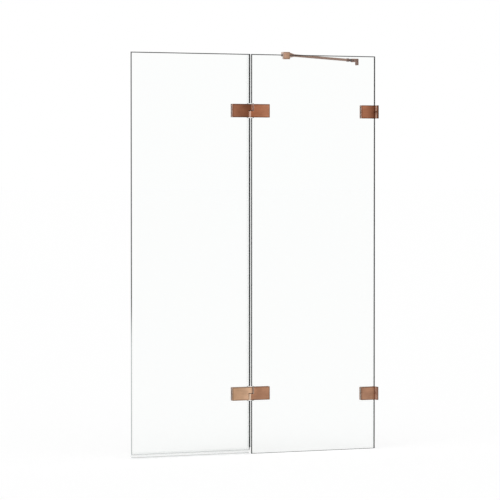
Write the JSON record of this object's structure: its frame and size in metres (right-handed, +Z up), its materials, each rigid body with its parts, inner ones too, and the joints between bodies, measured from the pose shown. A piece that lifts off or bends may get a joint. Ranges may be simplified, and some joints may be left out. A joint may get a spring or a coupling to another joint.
{
  "type": "bath screen",
  "caption": "Frameless bath screen: a clear glass door hinged to a fixed clear pane, with copper-finished hinges, wall brackets and a slanting brace arm at the top.",
  "frame": {"origin": "the fixed pane's lower corner beside the wall, midway through the glass, on the bath's rim", "axes": "+X along the glass towards the wall, +Y square to the glass from the dry side into the bath, +Z up"},
  "size_m": [1, 0.2035, 1.51],
  "materials": {
    "copper": "satin brushed copper plating on brass",
    "clear_glass": "clear toughened glass, polished edges",
    "clear_seal": "clear soft vinyl",
    "gasket": "pale grey soft vinyl",
    "steel": "plain stainless steel",
    "bush_plastic": "black acetal"
  },
  "bodies": {
    "fixed_panel": {"fixed_glass": "clear_glass", "upper_hinge_fixed_leaf": "copper", "upper_hinge_fixed_back_plate": "copper", "upper_hinge_fixed_gasket": "gasket", "upper_hinge_fixed_bush": "bush_plastic", "upper_hinge_fixed_cap": "copper", "upper_hinge_fixed_screws": "steel", "upper_hinge_pin": "steel", "lower_hinge_fixed_leaf": "copper", "lower_hinge_fixed_back_plate": "copper", "lower_hinge_fixed_gasket": "gasket", "lower_hinge_fixed_bush": "bush_plastic", "lower_hinge_fixed_cap": "copper", "lower_hinge_fixed_screws": "steel", "lower_hinge_pin": "steel", "upper_wall_bracket": "copper", "upper_bracket_back_plate": "copper", "upper_bracket_gasket": "gasket", "upper_bracket_screws": "steel", "lower_wall_bracket": "copper", "lower_bracket_back_plate": "copper", "lower_bracket_gasket": "gasket", "lower_bracket_screws": "steel", "arm_clamp": "copper", "arm_clamp_liner": "gasket", "arm_clamp_set_screw": "steel", "arm_pivot_screw": "copper"},
    "door": {"door_glass": "clear_glass", "lower_seam_seal": "clear_seal", "middle_seam_seal": "clear_seal", "upper_seam_seal": "clear_seal", "door_bottom_seal": "clear_seal", "upper_hinge_door_leaf": "copper", "upper_hinge_door_back_plate": "copper", "upper_hinge_door_gasket": "gasket", "upper_hinge_door_bush": "bush_plastic", "upper_hinge_door_cap": "copper", "upper_hinge_door_screws": "steel", "lower_hinge_door_leaf": "copper", "lower_hinge_door_back_plate": "copper", "lower_hinge_door_gasket": "gasket", "lower_hinge_door_bush": "bush_plastic", "lower_hinge_door_cap": "copper", "lower_hinge_door_screws": "steel"},
    "arm": {"arm_glass_end": "copper", "arm_rod": "copper", "arm_wall_end": "copper"},
    "wall_foot": {"arm_wall_foot": "copper", "arm_foot_screw": "copper"}
  },
  "joints": [
    {"name": "door_swing", "type": "hinge", "parent": "fixed_panel", "child": "door", "pos_m": [-0.517, 0, 0.7575], "axis": [0, 0, 1], "range_deg": [-90, 90]},
    {"name": "arm_swivel", "type": "hinge", "parent": "fixed_panel", "child": "arm", "pos_m": [-0.373, 0.017, 1.5009], "axis": [0, 0, 1], "range_deg": [-15, 67]},
    {"name": "wall_foot_swivel", "type": "hinge", "parent": "arm", "child": "wall_foot", "pos_m": [-0.014, 0.17, 1.4915], "axis": [0, 0, 1], "range_deg": [-47, 91]}
  ]
}
